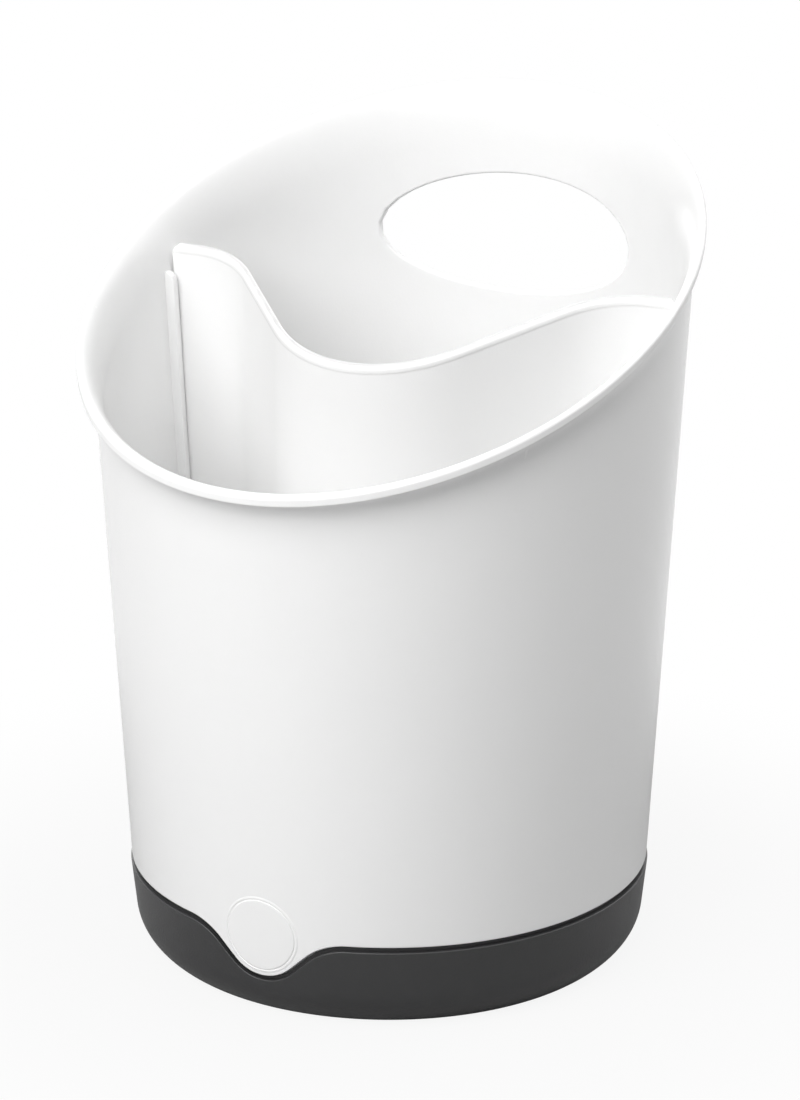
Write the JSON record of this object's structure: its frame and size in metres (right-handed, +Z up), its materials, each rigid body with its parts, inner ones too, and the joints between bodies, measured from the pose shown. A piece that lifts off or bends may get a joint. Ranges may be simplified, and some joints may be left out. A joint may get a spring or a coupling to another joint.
{
  "type": "utensil holder",
  "caption": "Round tapered kitchen utensil holder with a slanted flared rim, a hand hole in the back, a loose bell-plan divider and a dark drip tray that dips round a medallion.",
  "frame": {"origin": "on the cup's axis, on the surface under the pads", "axes": "+Z up; -Y towards the low side of the rim and the medallion; the hand hole is on the +Y side"},
  "size_m": [0.1622, 0.1622, 0.2198],
  "materials": {
    "white_plastic": "glossy moulded",
    "grey_plastic": "satin moulded",
    "pad": "soft matte"
  },
  "bodies": {
    "tray": {"drip_tray": "grey_plastic", "foot_1": "pad", "foot_2": "pad", "foot_3": "pad", "foot_4": "pad"},
    "container": {"container": "white_plastic"},
    "divider": {"divider": "white_plastic"}
  },
  "joints": [
    {"name": "container_lift", "type": "slide", "parent": "tray", "child": "container", "axis": [0, 0, 1], "range_m": [0, 0.03]},
    {"name": "divider_lift", "type": "slide", "parent": "container", "child": "divider", "axis": [0, 0, 1], "range_m": [0, 0.21]}
  ]
}
